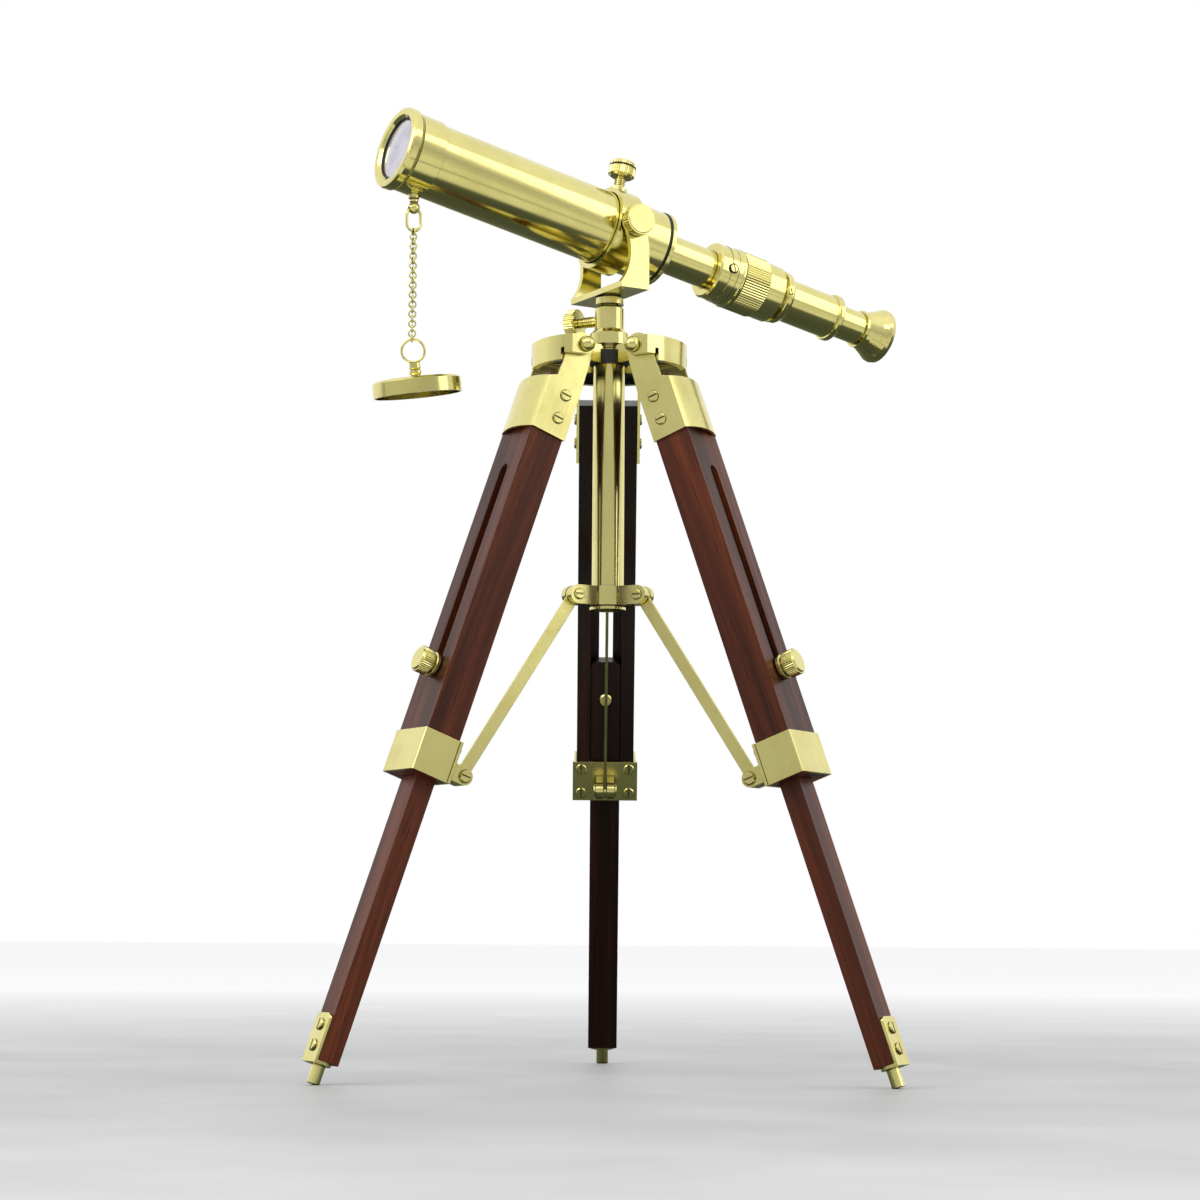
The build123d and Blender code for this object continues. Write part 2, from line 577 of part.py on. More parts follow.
def focus_barrel():
    """The stepped barrel on the draw tube; its rear hub carries the focusing ring."""
    barrel = turned((DRAW_R, BARREL_FRONT), (13.4, BARREL_FRONT), (14.3, BARREL_FRONT - 0.9),
                    (14.3, BARREL_FRONT - 6.3), (14.6, BARREL_FRONT - 6.3), (14.9, BARREL_REAR + 1.6),
                    (15.3, BARREL_REAR + 1.2), (15.3, BARREL_REAR), (FOCUS_HUB_R, BARREL_REAR),
                    (FOCUS_HUB_R, BARREL_END), (EYEPIECE_R + FIT, BARREL_END),
                    (EYEPIECE_R + FIT, BARREL_REAR), (DRAW_R, BARREL_REAR))
    return SCOPE_FRAME * barrel


def focus_ring():
    teeth_end = BARREL_REAR - 15.0
    teeth = toothed_disc(15.1, 0.4, FOCUS_TEETH, teeth_end, BARREL_REAR - 0.4 - GAP)
    band = turned((FOCUS_HUB_R + FIT, BARREL_REAR - GAP), (14.5, BARREL_REAR - GAP), (14.5, BARREL_END + GAP),
                  (14.1, BARREL_END), (FOCUS_HUB_R + FIT, BARREL_END))
    return SCOPE_FRAME * (band + (teeth - rod(FOCUS_HUB_R + FIT, teeth_end - 1, 0)))


def eyepiece_tube():
    """The tube that the focusing ring drives, with its rounded nose band and end bead."""
    bead = EYEPIECE_END + 3.6
    tube = turned((EYE_TUBE_R + FIT, BARREL_REAR - 6), (EYEPIECE_R, BARREL_REAR - 6),
                  (EYEPIECE_R, BARREL_END - GAP - 2.2), (13.2, BARREL_END - GAP - 2.2),
                  (13.6, BARREL_END - GAP - 2.8), (13.4, NOSE_END + 1.6), (12.2, NOSE_END),
                  (EYEPIECE_R, NOSE_END - 0.2), (EYEPIECE_R, bead), (11.8, bead - 0.3),
                  (12.1, bead - 1.2), (12.1, EYEPIECE_END + 0.8), (11.4, EYEPIECE_END),
                  (EYE_TUBE_R + FIT, EYEPIECE_END))
    return SCOPE_FRAME * tube


def eye_tube():
    return SCOPE_FRAME * (rod(EYE_TUBE_R, EYECUP_FRONT - 6, EYEPIECE_END + 34)
                          - rod(EYE_TUBE_R - 0.8, EYECUP_FRONT - 7, EYEPIECE_END + 40))


def eyecup():
    cup = turned((EYE_TUBE_R, EYECUP_FRONT), (9.8, EYECUP_FRONT), (9.8, EYECUP_FRONT - 1.2),
                 (9.5, EYECUP_FRONT - 1.6), (10.3, EYECUP_FRONT - 4), (12.2, EYECUP_FRONT - 8),
                 (13.8, EYECUP_REAR + 4.6), (EYECUP_R, EYECUP_REAR + 2.8), (EYECUP_R - 0.4, EYECUP_REAR + 1),
                 (EYECUP_R - 1.8, EYECUP_REAR), (11.2, EYECUP_REAR + 0.6), (6.2, EYECUP_REAR + 5.4),
                 (6.2, EYECUP_FRONT - 8.4), (EYE_TUBE_R, EYECUP_FRONT - 6))
    return SCOPE_FRAME * cup


def eye_lens():
    return SCOPE_FRAME * lens(EYE_TUBE_R - 0.8, EYECUP_FRONT - 4, 1.6, 0.8)


# ---- chain and cap: everything hangs plumb below the anchor ----
def anchor_point():
    """Where the anchor's stem meets the underside of the objective cell."""
    return (SCOPE_FRAME * Pos(-CELL_R, 0, ANCHOR_A)).position


def chain_anchor():
    point = anchor_point()
    stem = rod(1.5, -5.2, 1.2) + rod(2.6, -1.6, 0.4) + rod(2.1, -3.4, -2.4)
    ball = Pos(0, 0, -BALL_DROP) * Sphere(ANCHOR_BALL_R)
    loose = 0.35
    eye = wire_link(HANGER_L + 2 * loose, HANGER_W + 2 * loose, HANGER_WIRE_R + loose)
    eye = Rot(0, 0, SCOPE_AZIMUTH) * Pos(0, 0, -BALL_DROP) * eye
    whole = Pos(point.X, point.Y, point.Z) * (stem + ball - eye)
    return whole - SCOPE_FRAME * rod(CELL_R, CELL_REAR - 10, CELL_FRONT + 10)


def wire_link(length, width, wire_r):
    """A closed oval link in the XZ plane; the wire at its top is centred on z = 0."""
    bend = width / 2 - wire_r
    straight = length - width
    section = Plane.XY * Pos(bend, 0) * Circle(wire_r)
    top = revolve(section, Axis.Y, revolution_arc=-180)
    if top.bounding_box().center().Z < 0:
        top = Rot(0, 180, 0) * top
    link = top + Pos(0, 0, -straight) * Rot(0, 180, 0) * top
    for x in (-bend, bend):
        link += Pos(x, 0, 0) * rod(wire_r, -straight, 0)
    return Pos(0, 0, -bend) * link


def hang(shape, drop, turn=0):
    point = anchor_point()
    return Pos(point.X, point.Y, point.Z - drop) * Rot(0, 0, SCOPE_AZIMUTH + turn) * shape


def chain_ring():
    return hang(wire_link(HANGER_L, HANGER_W, HANGER_WIRE_R), BALL_DROP)


def chain_links():
    """Crossed links, each hanging in the one above, with a slow twist down the chain."""
    link = wire_link(LINK_L, LINK_W, LINK_WIRE_R)
    links = []
    for i in range(LINKS):
        turn = 90 * ((i + 1) % 2) + LINK_TWIST * i / (LINKS - 1)
        links.append(hang(link, CHAIN_DROP + i * LINK_PITCH, turn).solid())
    return Compound(links)


def lens_cap():
    """A turned cap with a ridged stem and a wire loop; it hangs a little askew."""
    loop = Rot(0, 0, LINK_TWIST) * Rot(90, 0, 0) * Torus(LOOP_R - LOOP_WIRE_R, LOOP_WIRE_R)
    low = -LOOP_R
    stem = turned((0, low - 7.6), (3.0, low - 7.6), (3.0, low - 6.2), (2.3, low - 5.6), (2.9, low - 4.6),
                  (2.9, low - 3.6), (2.2, low - 3.0), (2.8, low - 2.2), (2.6, low + 0.2), (0, low + 0.2))
    top = low - 7.4
    disc = turned((0, top), (CAP_R - 1.2, top), (CAP_R, top - 1.0), (CAP_R, top - CAP_H),
                  (CAP_R - CAP_WALL, top - CAP_H), (CAP_R - CAP_WALL, top - 1.4), (0, top - 1.4))
    cap = Pos(0, 0, LOOP_WIRE_R - LOOP_R) * (loop + stem + disc)
    askew = Rot(0, 0, CAP_TILT_TURN) * Rot(0, CAP_TILT, 0) * Rot(0, 0, -CAP_TILT_TURN)
    return hang(askew * cap, CAP_DROP)


def all_nodes():
    nodes = {}
    for name in LEG_AZIMUTH:
        nodes["leg_bracket_" + name] = on_leg(leg_bracket(), name)
        nodes["upper_leg_" + name] = on_leg(upper_leg(), name)
        nodes["upper_leg_screws_" + name] = on_leg(upper_leg_screws(), name)
        nodes["knee_clamp_" + name] = on_leg(knee_clamp(), name)
        nodes["knee_plate_" + name] = on_leg(knee_plate(), name)
        nodes["lower_leg_" + name] = on_leg(lower_leg(), name)
        nodes["lower_leg_screws_" + name] = on_leg(lower_leg_screws(), name)
        nodes["foot_strap_" + name] = on_leg(foot_strap(), name)
        nodes["foot_stud_" + name] = foot_stud(name)
        nodes["leg_lock_knob_" + name] = on_leg(leg_lock_knob(), name)
        nodes["brace_" + name] = Rot(0, 0, LEG_AZIMUTH[name]) * brace()
    nodes["hub"] = hub()
    nodes["hub_pivot_screws"] = hub_pivot_screws()
    nodes["column_tube"] = column_tube()
    nodes["column_collar"] = column_collar()
    nodes["collar_pins"] = collar_pins()
    nodes["azimuth_lock_screw"] = azimuth_lock_screw()
    nodes["yoke"] = yoke()
    nodes["clamp_ring"] = clamp_ring()
    nodes["ring_clamp_screw"] = ring_clamp_screw()
    nodes["tilt_knob_left"] = tilt_knob(-1)
    nodes["tilt_knob_right"] = tilt_knob(1)
    nodes["main_tube"] = main_tube()
    nodes["tube_end_cap"] = tube_end_cap()
    nodes["objective_cell"] = objective_cell()
    nodes["objective_bezel"] = objective_bezel()
    nodes["objective_lens"] = objective_lens()
    nodes["draw_tube"] = draw_tube()
    nodes["focus_barrel"] = focus_barrel()
    nodes["focus_ring"] = focus_ring()
    nodes["eyepiece_tube"] = eyepiece_tube()
    nodes["eye_tube"] = eye_tube()
    nodes["eyecup"] = eyecup()
    nodes["eye_lens"] = eye_lens()
    nodes["chain_anchor"] = chain_anchor()
    nodes["chain_ring"] = chain_ring()
    nodes["chain_links"] = chain_links()
    nodes["lens_cap"] = lens_cap()
    return nodes


def footprint_shift(nodes):
    """Moves the middle of the whole object's box to x = y = 0, floor at z = 0."""
    boxes = [shape.bounding_box() for shape in nodes.values()]
    x_mid = (min(b.min.X for b in boxes) + max(b.max.X for b in boxes)) / 2
    y_mid = (min(b.min.Y for b in boxes) + max(b.max.Y for b in boxes)) / 2
    return Vector(-x_mid, -y_mid, -min(b.min.Z for b in boxes))


def main():
    os.makedirs("parts", exist_ok=True)
    nodes = all_nodes()
    shift = footprint_shift(nodes)
    print("shift", shift)
    for name, shape in nodes.items():
        export_step(Pos(shift.X, shift.Y, shift.Z) * shape, f"parts/{name}.step")


if __name__ == "__main__":
    main()
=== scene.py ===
import json
import math

import bmesh
import bpy
from mathutils import Matrix, Vector


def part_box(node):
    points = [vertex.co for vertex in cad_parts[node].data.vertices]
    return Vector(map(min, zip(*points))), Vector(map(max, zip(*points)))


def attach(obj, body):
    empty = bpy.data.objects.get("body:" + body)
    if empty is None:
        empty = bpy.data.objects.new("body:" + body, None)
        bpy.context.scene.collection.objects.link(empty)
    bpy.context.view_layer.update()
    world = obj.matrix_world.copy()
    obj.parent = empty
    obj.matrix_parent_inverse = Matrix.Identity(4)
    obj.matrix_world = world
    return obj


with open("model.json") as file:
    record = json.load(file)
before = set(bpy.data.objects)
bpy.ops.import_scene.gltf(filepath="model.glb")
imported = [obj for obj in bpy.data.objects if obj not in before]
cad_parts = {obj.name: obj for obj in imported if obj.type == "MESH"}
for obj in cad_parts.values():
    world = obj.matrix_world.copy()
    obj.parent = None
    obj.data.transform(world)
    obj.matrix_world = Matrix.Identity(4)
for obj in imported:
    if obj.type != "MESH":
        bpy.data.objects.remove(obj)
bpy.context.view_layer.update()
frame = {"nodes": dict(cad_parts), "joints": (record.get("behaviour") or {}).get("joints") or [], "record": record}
NODES = frame["nodes"]
JOINTS = {joint["name"]: joint for joint in frame["joints"]}
SLOT_OF = {part["node"]: part["material_slot"] for part in frame["record"]["subparts"]}
LEGS = ("rear", "left", "right")
MM = 0.001
UP = Vector((0, 0, 1))

# ---- the telescope's own directions, from its joints ----
SCOPE_AXIS = Vector(JOINTS["tube_slide"]["axis"]).normalized()
SCOPE_ORIGIN = Vector(JOINTS["tilt_turn"]["pos_m"])
SCOPE_UP = Vector(JOINTS["ring_screw_turn"]["axis"]).normalized()
SCOPE_NEAR = SCOPE_UP.cross(SCOPE_AXIS).normalized()

# ---- the camera ----
CAMERA_PLACE = Vector((-0.0177, -1.4008, 0.0697))
CAMERA_PITCH = 6.64     # degrees above the horizon
CAMERA_YAW = 0.35       # degrees towards +X
CAMERA_ROLL = 0.39
CAMERA_LENS = 85.14
CAMERA_SENSOR = 36

# ---- colours, linear ----
BRASS_BRIGHT = (0.80, 0.73, 0.29, 1)
BRASS_DULL = (0.42, 0.34, 0.10, 1)
BRASS_SHADE_AND_WEAR = (0.022, 0.015, 0.006, 1)
# The first wood tone below is painted shade: only the rear leg uses it, since that leg stands in shadow.
WOOD_SHADE_DEEP = (0.0035, 0.0014, 0.0008, 1)
WOOD_DARK = (0.018, 0.0046, 0.0018, 1)
WOOD_MID = (0.092, 0.0200, 0.0055, 1)
WOOD_LIGHT = (0.230, 0.056, 0.0150, 1)
LENS_TINT = (0.62, 0.60, 0.68, 1)
LENS_SHADE = (0.34, 0.33, 0.42, 1)
BLACK = (0.012, 0.012, 0.012, 1)
# Painted reflection: the floor shows these two tones to glossy rays only, as a bright room, a dark line for a
# table's edge, and painted shade under the object.
PAINTED_REFLECTION_BRIGHT = (0.62, 0.62, 0.56, 1)
PAINTED_REFLECTION_DARK = (0.030, 0.044, 0.034, 1)
TABLE_EDGE = -0.52      # where the brass reflects a table's front edge
SHADE_START = -0.24     # where it reflects the shade under the object, up to SHADE_END
SHADE_END = 1.2

# ---- sizes of the telescope's small details ----
BARREL_SCREW_BACK = 7.0 * MM        # from the front of the focus barrel
BARREL_LINE_BACK = 10.3 * MM
BARREL_SCREW_SEAT = 14.75 * MM      # radius at which a screw or its recess sits
BARREL_RECESS_SEAT = 14.95 * MM
BARREL_LINE_R = 14.80 * MM
BARREL_SCREW_HEAD = 2.1 * MM
BARREL_RECESS_OUTER = 2.6 * MM
NOSE_SCREW_AHEAD = 35.4 * MM        # from the rear of the eyepiece tube
NOSE_SCREW_SEAT = 13.4 * MM
NOSE_RECESS_SEAT = 13.66 * MM
NOSE_SCREW_HEAD = 1.6 * MM
NOSE_RECESS_OUTER = 1.75 * MM
SCREW_HEAD_HEIGHT = 0.55 * MM
FRONT_GLASS_BACK = 2.6 * MM         # from the front of the bezel to the glass's edge
BAFFLE_DEPTH = 30 * MM

# ---- sizes of the painted shade inside the hub ----
SHADE_SHEET_ARM_UP = 3.0 * MM            # from the hub's lowest face to the underside of its arms
SHADE_SHEET_NECK_R = 9.3 * MM
SHADE_SHEET_NECK_TALL = 6.5 * MM
SHADE_SHEET_WALL_R = 34.7 * MM
SHADE_SHEET_WALL_HALF = 14.0 * MM
SHADE_SHEET_NECK_HALF = 5 * MM
SHADE_SHEET_SKIN = 0.12 * MM
SHADE_SHEET_STEPS = 16


# ---- material helpers ----
class Tree:
    """A material's node tree with short ways to add and join nodes."""

    def __init__(self, name):
        self.material = bpy.data.materials.new(name)
        self.material.use_nodes = True
        self.nodes = self.material.node_tree.nodes
        self.links = self.material.node_tree.links
        self.shader = self.nodes["Principled BSDF"]
        self.place = self.add("ShaderNodeTexCoord").outputs["Object"]

    def add(self, kind, **values):
        node = self.nodes.new(kind)
        for name, value in values.items():
            setattr(node, name, value)
        return node

    def join(self, output, socket):
        self.links.new(output, socket)

    def mapped(self, scale, rotation=(0, 0, 0)):
        """Object coordinates, turned and then scaled."""
        turn = self.add("ShaderNodeMapping")
        turn.inputs["Rotation"].default_value = rotation
        self.join(self.place, turn.inputs["Vector"])
        stretch = self.add("ShaderNodeMapping")
        stretch.inputs["Scale"].default_value = scale
        self.join(turn.outputs["Vector"], stretch.inputs["Vector"])
        return stretch.outputs["Vector"]

    def noise(self, vector, scale=1.0, detail=4.0, roughness=0.55, distortion=0.0):
        node = self.add("ShaderNodeTexNoise")
        self.join(vector, node.inputs["Vector"])
        for name, value in (("Scale", scale), ("Detail", detail), ("Roughness", roughness),
                            ("Distortion", distortion)):
            node.inputs[name].default_value = value
        return node.outputs["Fac"]

    def ramp(self, factor, *stops):
        node = self.add("ShaderNodeValToRGB")
        self.join(factor, node.inputs["Fac"])
        elements = node.color_ramp.elements
        while len(elements) < len(stops):
            elements.new(0.5)
        for element, (position, colour) in zip(elements, stops):
            element.position = position
            element.color = colour if isinstance(colour, tuple) else (colour, colour, colour, 1)
        return node.outputs["Color"]

    def mix(self, factor, first, second, blend="MIX"):
        node = self.add("ShaderNodeMix", data_type="RGBA", blend_type=blend)
        for value, socket in ((factor, node.inputs[0]), (first, node.inputs[6]), (second, node.inputs[7])):
            if isinstance(value, bpy.types.NodeSocket):
                self.join(value, socket)
            else:
                socket.default_value = value
        return node.outputs[2]

    def maths(self, operation, first, second):
        node = self.add("ShaderNodeMath", operation=operation)
        for value, socket in zip((first, second), node.inputs):
            if isinstance(value, bpy.types.NodeSocket):
                self.join(value, socket)
            else:
                socket.default_value = value
        return node.outputs["Value"]

    def rounded_edges(self, radius):
        bevel = self.add("ShaderNodeBevel", samples=4)
        bevel.inputs["Radius"].default_value = radius
        return bevel.outputs["Normal"]

    def bump(self, height, distance, strength, normal=None):
        node = self.add("ShaderNodeBump")
        node.inputs["Distance"].default_value = distance
        node.inputs["Strength"].default_value = strength
        self.join(height, node.inputs["Height"])
        if normal is not None:
            self.join(normal, node.inputs["Normal"])
        return node.outputs["Normal"]

    def set(self, **values):
        for name, value in values.items():
            socket = self.shader.inputs[name.replace("_", " ")]
            if isinstance(value, bpy.types.NodeSocket):
                self.join(value, socket)
            else:
                socket.default_value = value


def turned_to(axis, side):
    """The rotation that lays `axis` along texture Z and `side` along texture X."""
    z = axis.normalized()
    x = (side - z * side.dot(z)).normalized()
    return tuple(Matrix((x, z.cross(x), z)).to_euler())


# ---- materials ----
def brass(name, axis, side, line_scale=(60, 60, 2600), roughness=0.10, dullness=0.35):
    """Polished brass: slight tarnish in patches, painted shade in the corners, fine tool marks."""
    tree = Tree(name)
    patches = tree.noise(tree.mapped((1, 1, 1)), scale=34, detail=6, roughness=0.6)
    specks = tree.noise(tree.mapped((1, 1, 1)), scale=620, detail=3)
    marks = tree.noise(tree.mapped(line_scale, turned_to(axis, side)), detail=3, roughness=0.65)
    tarnish = tree.ramp(patches, (0.42, 0.0), (0.78, dullness))
    colour = tree.mix(tarnish, BRASS_BRIGHT, BRASS_DULL)
    spots = tree.ramp(specks, (0.66, 0.0), (0.76, 0.45))
    colour = tree.mix(spots, colour, BRASS_DULL)
    # Painted shade: ambient occlusion darkens the brass in its corners and crevices towards a dark brass colour.
    corner = tree.add("ShaderNodeAmbientOcclusion", samples=8)
    corner.inputs["Distance"].default_value = 1.4 * MM
    corner_shade = tree.ramp(corner.outputs["AO"], (0.40, 0.95), (0.80, 0.0))
    colour = tree.mix(corner_shade, colour, BRASS_SHADE_AND_WEAR)
    gloss = tree.ramp(patches, (0.3, roughness), (0.8, roughness + 0.12))
    gloss = tree.mix(spots, gloss, (0.38, 0.38, 0.38, 1))
    normal = tree.bump(marks, 0.03 * MM, 0.35, tree.rounded_edges(0.22 * MM))
    tree.set(Base_Color=colour, Metallic=1.0, Roughness=gloss, Normal=normal)
    return tree.material


def wood(name, axis, side, tones):
    """Dark red-brown hardwood with its grain along the leg, under a satin lacquer."""
    tree = Tree(name)
    turn = turned_to(axis, side)
    bands = tree.noise(tree.mapped((46, 46, 2.6), turn), detail=4, distortion=1.4)
    fibres = tree.noise(tree.mapped((420, 420, 14), turn), detail=6, roughness=0.7, distortion=0.4)
    pores = tree.noise(tree.mapped((1500, 1500, 60), turn), detail=2)
    dark, middle, light = tones
    colour = tree.ramp(bands, (0.28, dark), (0.52, middle), (0.80, light))
    colour = tree.mix(tree.ramp(fibres, (0.35, 0.0), (0.75, 0.55)), colour, light, "SOFT_LIGHT")
    dark_pores = tree.ramp(pores, (0.30, 0.75), (0.42, 0.0))
    colour = tree.mix(dark_pores, colour, dark)
    gloss = tree.ramp(fibres, (0.3, 0.30), (0.8, 0.46))
    normal = tree.bump(fibres, 0.06 * MM, 0.5, tree.rounded_edges(0.5 * MM))
    normal = tree.bump(dark_pores, -0.05 * MM, 0.4, normal)
    tree.set(Base_Color=colour, Roughness=gloss, Normal=normal)
    tree.set(Specular_IOR_Level=0.20, Coat_Weight=0.05, Coat_Roughness=0.2)
    return tree.material


def lens_glass():
    """A coated objective: it reflects a pale lilac and shows little of the tube behind it."""
    tree = Tree("lens_glass")
    haze = tree.noise(tree.mapped((1, 1, 1)), scale=90, detail=3)
    colour = tree.mix(tree.ramp(haze, (0.35, 0.0), (0.75, 0.8)), LENS_TINT, LENS_SHADE)
    tree.set(Base_Color=colour, Roughness=tree.ramp(haze, (0.3, 0.02), (0.8, 0.07)))
    tree.set(Metallic=0.6, IOR=1.52, Coat_Weight=0.8, Coat_Roughness=0.02)
    return tree.material


def blackened():
    """Black lacquer on turned brass, with a faint thread of wear. The same black is also painted shade on the
    sheets laid in grooves, recesses, the tube's rear and the hub.
    """
    tree = Tree("black_lacquer_and_painted_shade")
    wear = tree.noise(tree.mapped((1, 1, 1)), scale=800, detail=4)
    colour = tree.mix(tree.ramp(wear, (0.62, 0.0), (0.75, 0.3)), BLACK, BRASS_SHADE_AND_WEAR)
    tree.set(Base_Color=colour, Roughness=tree.ramp(wear, (0.3, 0.35), (0.8, 0.55)), Metallic=0.2)
    return tree.material


def room_stops():
    """What the brass shows of the floor from front to back: bright, the table's edge, then shade."""
    edge = 0.5 + TABLE_EDGE / 2
    start = 0.5 + SHADE_START / 2
    return ((edge - 0.012, PAINTED_REFLECTION_BRIGHT), (edge - 0.006, PAINTED_REFLECTION_DARK), (edge + 0.006, PAINTED_REFLECTION_DARK),
            (edge + 0.012, PAINTED_REFLECTION_BRIGHT), (start - 0.012, PAINTED_REFLECTION_BRIGHT), (start + 0.012, PAINTED_REFLECTION_DARK))


def tabletop():
    """A pale grey floor that fades to white away from the object.

    Glossy rays see a painted reflection on it instead: a bright room, a dark line for a table's edge, then painted
    shade under the object.
    """
    tree = Tree("pale_floor")
    distance = tree.add("ShaderNodeVectorMath", operation="LENGTH")
    tree.join(tree.place, distance.inputs[0])
    mottle = tree.noise(tree.mapped((1, 1, 1)), scale=7, detail=5)
    near = tree.ramp(mottle, (0.3, (0.40, 0.41, 0.41, 1)), (0.7, (0.50, 0.51, 0.51, 1)))
    far = tree.ramp(tree.maths("DIVIDE", distance.outputs["Value"], 2.4), (0.15, 0.0), (0.8, 1.0))
    colour = tree.mix(far, near, (0.93, 0.93, 0.94, 1))
    split = tree.add("ShaderNodeSeparateXYZ")
    tree.join(tree.place, split.inputs["Vector"])
    depth = tree.maths("ADD", tree.maths("MULTIPLY", split.outputs["Y"], 0.5), 0.5)
    shade = tree.ramp(depth, *room_stops())
    inside = tree.ramp(depth, (0.5 + SHADE_END / 2 - 0.1, 1.0), (0.5 + SHADE_END / 2, 0.0))
    seen = tree.add("ShaderNodeLightPath")
    # Painted reflection and painted shade: glossy rays see the room tones instead of the floor's own colour.
    room = tree.maths("MULTIPLY", inside, seen.outputs["Is Glossy Ray"])
    tree.set(Base_Color=tree.mix(room, colour, shade), Roughness=0.55)
    return tree.material


# ---- mesh helpers ----
def finished(name, mesh, body, material, smooth=True):
    """Makes a piece of a bmesh, and says what it rides on and is made of."""
    bmesh.ops.recalc_face_normals(mesh, faces=mesh.faces)
    data = bpy.data.meshes.new(name)
    mesh.to_mesh(data)
    mesh.free()
    for face in data.polygons:
        face.use_smooth = smooth
    data.materials.append(material)
    piece = bpy.data.objects.new(name, data)
    bpy.context.scene.collection.objects.link(piece)
    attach(piece, body)
    return piece


def around(origin, axis, side, along, radius, angle):
    """A point at a distance along an axis, a radius from it and an angle from `side`."""
    other = axis.cross(side).normalized()
    return origin + axis * along + (side * math.cos(angle) + other * math.sin(angle)) * radius


def lathe(mesh, origin, axis, side, outline, steps=96):
    """Turns a closed outline of (along, radius) points about an axis."""
    rings = []
    for i in range(steps):
        angle = 2 * math.pi * i / steps
        rings.append([mesh.verts.new(around(origin, axis, side, a, r, angle)) for a, r in outline])
    for first, second in zip(rings, rings[1:] + rings[:1]):
        for j in range(len(outline)):
            k = (j + 1) % len(outline)
            mesh.faces.new((first[j], first[k], second[k], second[j]))


def thread(mesh, origin, axis, side, start, end, radius, pitch, steps=28):
    """A helical screw thread: a triangular section swept round a shank."""
    turns = (end - start - pitch) / pitch
    count = int(turns * steps)
    previous = None
    for i in range(count + 1):
        angle = 2 * math.pi * i / steps
        along = start + pitch * i / steps
        fade = min(1.0, i / steps, (count - i) / steps)
        depth = pitch * 0.5 * fade
        section = [mesh.verts.new(around(origin, axis, side, along + da, radius + dr, angle))
                   for da, dr in ((0, -0.1 * MM), (pitch * 0.42, depth), (pitch * 0.84, -0.1 * MM))]
        if previous:
            for j in range(3):
                k = (j + 1) % 3
                mesh.faces.new((previous[j], previous[k], section[k], section[j]))
        else:
            mesh.faces.new(section)
        previous = section
    mesh.faces.new(reversed(previous))


def slotted_head(mesh, place, normal, along, radius, height, steps=20):
    """A screw head with a straight slot: a sunk disc between two raised half rounds."""
    slot_half = radius * 0.17
    floor = height * 0.35
    rim = radius * 0.86
    across = normal.cross(along).normalized()

    def corner(x, y, z):
        return mesh.verts.new(place + along * x + across * y + normal * z)

    disc = [(math.cos(2 * math.pi * i / (2 * steps)) * rim, math.sin(2 * math.pi * i / (2 * steps)) * rim)
            for i in range(2 * steps)]
    mesh.faces.new([corner(x, y, floor) for x, y in disc])
    for sign in (-1, 1):
        start = math.asin(slot_half / radius)
        angles = [start + (math.pi - 2 * start) * i / steps for i in range(steps + 1)]
        layers = []
        for scale, z in ((1.0, -height * 0.4), (1.0, height * 0.45), (0.88, height)):
            reach = radius * scale
            layers.append([corner(reach * math.cos(a), sign * max(slot_half, reach * math.sin(a)), z)
                           for a in angles])
        for low, high in zip(layers, layers[1:]):
            for j in range(len(angles)):
                k = (j + 1) % len(angles)
                mesh.faces.new((low[j], low[k], high[k], high[j]))
        mesh.faces.new(layers[-1])


def scope_bore(node):
    """The radius of the hole through a node, about the telescope's axis."""
    offsets = [vertex.co - SCOPE_ORIGIN for vertex in NODES[node].data.vertices]
    return min((offset - SCOPE_AXIS * offset.dot(SCOPE_AXIS)).length for offset in offsets)


def scope_reach(node):
    """A node's lowest and highest distance along the telescope's axis, and its outer radius."""
    offsets = [vertex.co - SCOPE_ORIGIN for vertex in NODES[node].data.vertices]
    along = [offset.dot(SCOPE_AXIS) for offset in offsets]
    radius = max((offset - SCOPE_AXIS * a).length for offset, a in zip(offsets, along))
    return min(along), max(along), radius


# ---- telescope details ----
def front_element(material):
    """The objective's domed front glass, close behind the bezel's rim."""
    front = scope_reach("objective_bezel")[1]
    radius = scope_bore("objective_bezel") - 0.05 * MM
    edge = front - FRONT_GLASS_BACK
    dome = 1.5 * MM
    steps = 14
    outline = [(edge - 1.6 * MM, 0.02 * MM), (edge - 1.6 * MM, radius)]
    for i in range(steps + 1):
        share = 1 - i / steps
        outline.append((edge + dome * (1 - share * share), max(radius * share, 0.02 * MM)))
    mesh = bmesh.new()
    lathe(mesh, SCOPE_ORIGIN, SCOPE_AXIS, SCOPE_UP, outline, 128)
    finished("front_glass", mesh, "tube", material)


def lens_retainer(material):
    """The black threaded ring that holds the front glass, inside the bezel."""
    front = scope_reach("objective_bezel")[1]
    outer = scope_bore("objective_bezel") - 0.03 * MM
    low = front - FRONT_GLASS_BACK
    high = front - 1.7 * MM
    mesh = bmesh.new()
    lathe(mesh, SCOPE_ORIGIN, SCOPE_AXIS, SCOPE_UP,
          [(low, outer - 0.55 * MM), (low, outer), (high, outer), (high, outer - 0.35 * MM)], 128)
    finished("lens_retainer", mesh, "tube", material)


def tube_baffle(material):
    """The blackened stop behind the objective."""
    rear = scope_reach("objective_lens")[0]
    radius = scope_reach("main_tube")[2] - 1.3 * MM
    outline = [(rear - 1.0 * MM, radius - 2.2 * MM), (rear - 1.0 * MM, radius - 2.7 * MM),
               (rear - BAFFLE_DEPTH, radius - 3.2 * MM), (rear - BAFFLE_DEPTH, 5 * MM),
               (rear - 30.6 * MM, 5 * MM),
               (rear - 30.6 * MM, radius - 0.1 * MM), (rear - 29.4 * MM, radius - 0.1 * MM),
               (rear - 29.4 * MM, radius - 2.7 * MM)]
    mesh = bmesh.new()
    lathe(mesh, SCOPE_ORIGIN, SCOPE_AXIS, SCOPE_UP, outline)
    finished("tube_baffle", mesh, "tube", material, smooth=False)


